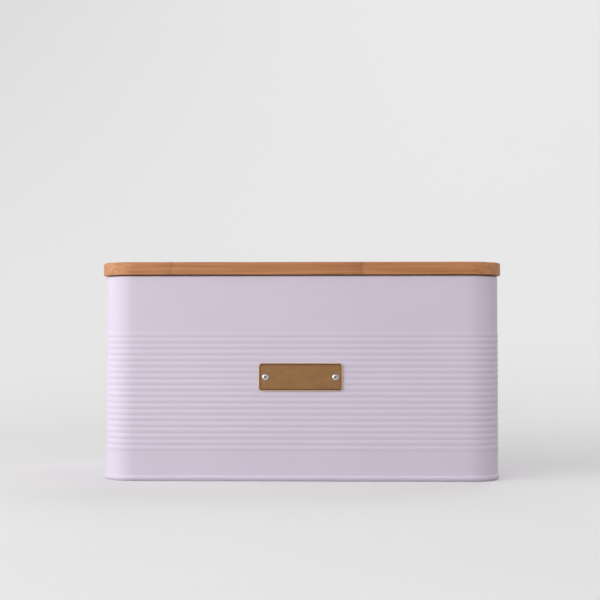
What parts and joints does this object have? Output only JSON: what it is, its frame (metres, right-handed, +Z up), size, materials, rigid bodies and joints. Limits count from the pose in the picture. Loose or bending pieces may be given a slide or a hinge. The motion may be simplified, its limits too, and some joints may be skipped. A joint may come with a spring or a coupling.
{
  "type": "bread box",
  "caption": "Steel bread box with a ribbed round-cornered wall, a seamed base, a riveted brass label plate and a lift-off bamboo lid with a silicone seal.",
  "frame": {"origin": "centre of the plane the box stands on", "axes": "+X along the long side, +Z up, the label faces -Y"},
  "size_m": [0.335, 0.215, 0.1812],
  "materials": {
    "steel_paint": "satin powder coat",
    "brass": "aged satin under lacquer",
    "rivet_aluminium": "satin",
    "mandrel_steel": "broken end",
    "bamboo": "satin lacquer",
    "silicone": "matt"
  },
  "bodies": {
    "body": {"body_wall": "steel_paint", "base_pan": "steel_paint", "label_plate": "brass", "label_rivets": "rivet_aluminium", "rivet_mandrels": "mandrel_steel"},
    "lid": {"lid_board": "bamboo", "lid_plug": "bamboo", "lid_seal": "silicone"}
  },
  "joints": [
    {"name": "lid_lift", "type": "slide", "parent": "body", "child": "lid", "axis": [0, 0, 1], "range_m": [0, 0.2]}
  ]
}
